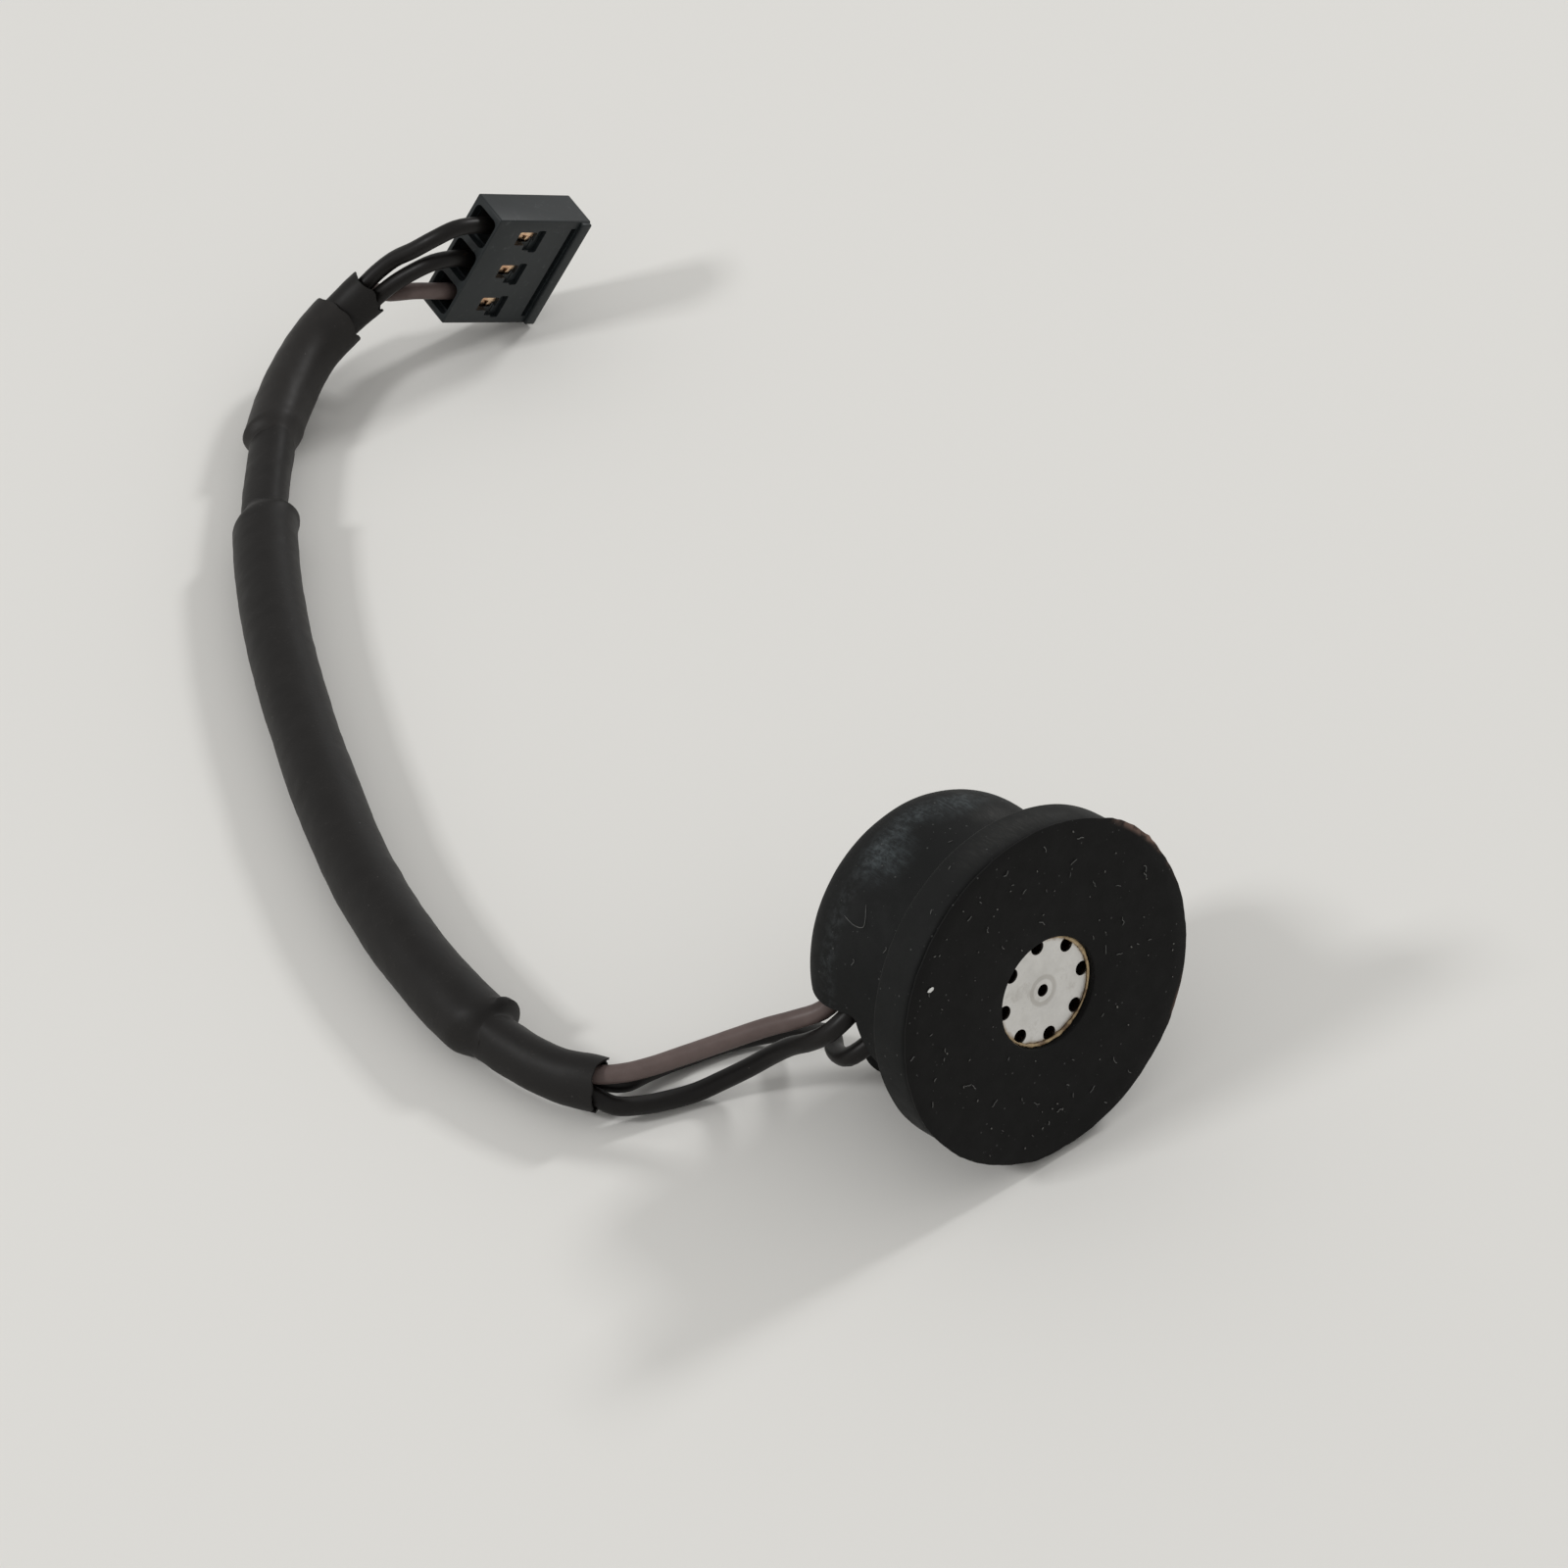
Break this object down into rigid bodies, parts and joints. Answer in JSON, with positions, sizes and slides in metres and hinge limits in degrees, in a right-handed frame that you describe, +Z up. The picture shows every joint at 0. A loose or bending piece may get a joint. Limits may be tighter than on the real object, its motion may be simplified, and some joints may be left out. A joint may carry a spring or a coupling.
{
  "type": "microphone capsule in a rubber boot with a lead",
  "caption": "Round electret microphone capsule in a spool-shaped rubber boot, with a short sleeved wire lead that ends in a small crimp plug.",
  "frame": {"origin": "on the ground, under the middle of the boot's length and width", "axes": "+Z up from the ground; the boot's face looks towards -Y and a little up; +X to the right as the face is seen from the front; the lead runs out to -X and then away along +Y"},
  "size_m": [0.0363, 0.0618, 0.0144],
  "materials": {
    "boot_rubber": "matt, dusty",
    "can_metal": "satin",
    "dried_glue": "amber, uneven",
    "brass_parts": "bright",
    "metallised_film": "bright, very thin",
    "spacer_plastic": "clear film",
    "holder_plastic": "off-white",
    "laminate": "green solder mask",
    "chip_plastic": "moulded",
    "chip_ceramic": "tan",
    "tinned_copper": "tinned",
    "solder": "bright",
    "mauve_insulation": "semi-gloss",
    "black_insulation": "glossy",
    "shrink_tubing": "satin",
    "plug_plastic": "satin",
    "terminal_metal": "bright"
  },
  "bodies": {
    "boot_and_lead": {"back_plate": "brass_parts", "black_wire": "black_insulation", "capacitor_1": "chip_ceramic", "capacitor_2": "chip_ceramic", "capsule_can": "can_metal", "circuit_board": "laminate", "contact_ring": "brass_parts", "diaphragm_ring": "brass_parts", "glue_ring": "dried_glue", "inner_sleeve": "shrink_tubing", "main_sleeve": "shrink_tubing", "mauve_wire": "mauve_insulation", "plate_holder": "holder_plastic", "plug_housing": "plug_plastic", "rubber_boot": "boot_rubber", "screen_wire": "black_insulation", "solder_joint_1": "solder", "solder_joint_2": "solder", "solder_joint_3": "solder", "solder_land_1": "tinned_copper", "solder_land_2": "tinned_copper", "solder_land_3": "tinned_copper", "spacer_ring": "spacer_plastic", "terminal_1": "terminal_metal", "terminal_2": "terminal_metal", "terminal_3": "terminal_metal", "transistor": "chip_plastic", "upper_sleeve": "shrink_tubing"},
    "film": {"diaphragm": "metallised_film"}
  },
  "joints": [
    {"name": "film_travel", "type": "slide", "parent": "boot_and_lead", "child": "film", "axis": [0, -0.9746, 0.2238], "range_m": [-0.00002, 0.00002], "stiffness_N_per_m": 20}
  ]
}
